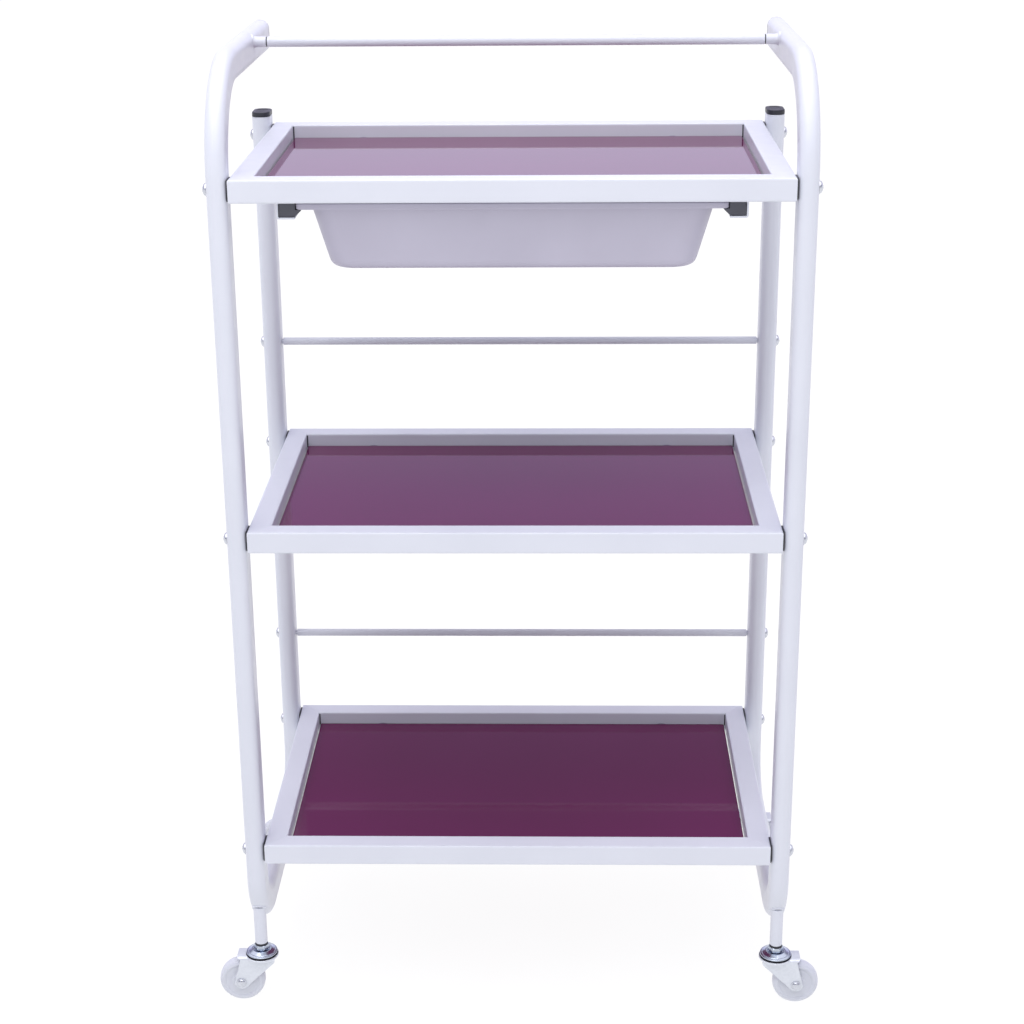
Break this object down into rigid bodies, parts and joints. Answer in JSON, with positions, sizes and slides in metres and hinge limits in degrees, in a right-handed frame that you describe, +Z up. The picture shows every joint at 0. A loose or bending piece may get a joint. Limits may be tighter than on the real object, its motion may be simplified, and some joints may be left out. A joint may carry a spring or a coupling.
{
  "type": "rolling salon trolley",
  "caption": "Tall narrow tubular trolley on swivel casters, with framed tinted glass shelves, a handle rod across bent side frames and a sliding tray under the top shelf.",
  "frame": {"origin": "on the floor, under the middle of the trolley", "axes": "+Z up, +X to the right seen from the front, +Y to the rear"},
  "size_m": [0.5814, 0.311, 0.904],
  "materials": {
    "white_coat": "smooth semi-gloss white powder coat",
    "tinted_glass": "polished dark plum tinted float glass",
    "black_plastic": "matt black moulded plastic",
    "white_plastic": "satin white moulded plastic",
    "grey_plastic": "fine-textured light grey moulded plastic",
    "wheel_plastic": "frosted translucent moulded plastic",
    "zinc": "bright zinc plate",
    "chrome": "polished chrome plate"
  },
  "bodies": {
    "frame": {"side_frame_left": "white_coat", "rear_post_plug_left": "black_plastic", "handle_plug_left": "white_plastic", "side_frame_right": "white_coat", "rear_post_plug_right": "black_plastic", "handle_plug_right": "white_plastic", "top_shelf_frame": "white_coat", "top_shelf_glass": "tinted_glass", "middle_shelf_frame": "white_coat", "middle_shelf_glass": "tinted_glass", "bottom_shelf_frame": "white_coat", "bottom_shelf_glass": "tinted_glass", "top_shelf_bolt_front_left": "zinc", "top_shelf_bolt_rear_left": "zinc", "middle_shelf_bolt_front_left": "zinc", "middle_shelf_bolt_rear_left": "zinc", "bottom_shelf_bolt_front_left": "zinc", "bottom_shelf_bolt_rear_left": "zinc", "top_shelf_bolt_front_right": "zinc", "top_shelf_bolt_rear_right": "zinc", "middle_shelf_bolt_front_right": "zinc", "middle_shelf_bolt_rear_right": "zinc", "bottom_shelf_bolt_front_right": "zinc", "bottom_shelf_bolt_rear_right": "zinc", "handle_rod": "white_coat", "upper_tie_rod": "white_coat", "upper_tie_rod_bolt_left": "zinc", "upper_tie_rod_bolt_right": "zinc", "lower_tie_rod": "white_coat", "lower_tie_rod_bolt_left": "zinc", "lower_tie_rod_bolt_right": "zinc", "runner_left": "white_coat", "runner_right": "white_coat", "caster_stem_front_left": "chrome", "caster_cap_front_left": "chrome", "caster_stem_rear_left": "chrome", "caster_cap_rear_left": "chrome", "caster_stem_front_right": "chrome", "caster_cap_front_right": "chrome", "caster_stem_rear_right": "chrome", "caster_cap_rear_right": "chrome"},
    "tray": {"slide_bar_left": "black_plastic", "slide_bar_right": "black_plastic", "tray": "grey_plastic"},
    "fork_front_left": {"caster_fork_front_left": "zinc", "caster_axle_front_left": "zinc"},
    "wheel_front_left": {"caster_wheel_front_left": "wheel_plastic"},
    "fork_rear_left": {"caster_fork_rear_left": "zinc", "caster_axle_rear_left": "zinc"},
    "wheel_rear_left": {"caster_wheel_rear_left": "wheel_plastic"},
    "fork_front_right": {"caster_fork_front_right": "zinc", "caster_axle_front_right": "zinc"},
    "wheel_front_right": {"caster_wheel_front_right": "wheel_plastic"},
    "fork_rear_right": {"caster_fork_rear_right": "zinc", "caster_axle_rear_right": "zinc"},
    "wheel_rear_right": {"caster_wheel_rear_right": "wheel_plastic"}
  },
  "joints": [
    {"name": "tray_slide", "type": "slide", "parent": "frame", "child": "tray", "axis": [0, -1, 0], "range_m": [0, 0.2]},
    {"name": "swivel_front_left", "type": "hinge", "parent": "frame", "child": "fork_front_left", "pos_m": [-0.24875, -0.1395, 0.05], "axis": [0, 0, 1], "continuous": true},
    {"name": "roll_front_left", "type": "hinge", "parent": "fork_front_left", "child": "wheel_front_left", "pos_m": [-0.26875, -0.1395, 0.022], "axis": [0, 1, 0], "continuous": true},
    {"name": "swivel_rear_left", "type": "hinge", "parent": "frame", "child": "fork_rear_left", "pos_m": [-0.24875, 0.1395, 0.05], "axis": [0, 0, 1], "continuous": true},
    {"name": "roll_rear_left", "type": "hinge", "parent": "fork_rear_left", "child": "wheel_rear_left", "pos_m": [-0.26875, 0.1395, 0.022], "axis": [0, 1, 0], "continuous": true},
    {"name": "swivel_front_right", "type": "hinge", "parent": "frame", "child": "fork_front_right", "pos_m": [0.24875, -0.1395, 0.05], "axis": [0, 0, 1], "continuous": true},
    {"name": "roll_front_right", "type": "hinge", "parent": "fork_front_right", "child": "wheel_front_right", "pos_m": [0.26875, -0.1395, 0.022], "axis": [0, 1, 0], "continuous": true},
    {"name": "swivel_rear_right", "type": "hinge", "parent": "frame", "child": "fork_rear_right", "pos_m": [0.24875, 0.1395, 0.05], "axis": [0, 0, 1], "continuous": true},
    {"name": "roll_rear_right", "type": "hinge", "parent": "fork_rear_right", "child": "wheel_rear_right", "pos_m": [0.26875, 0.1395, 0.022], "axis": [0, 1, 0], "continuous": true}
  ]
}
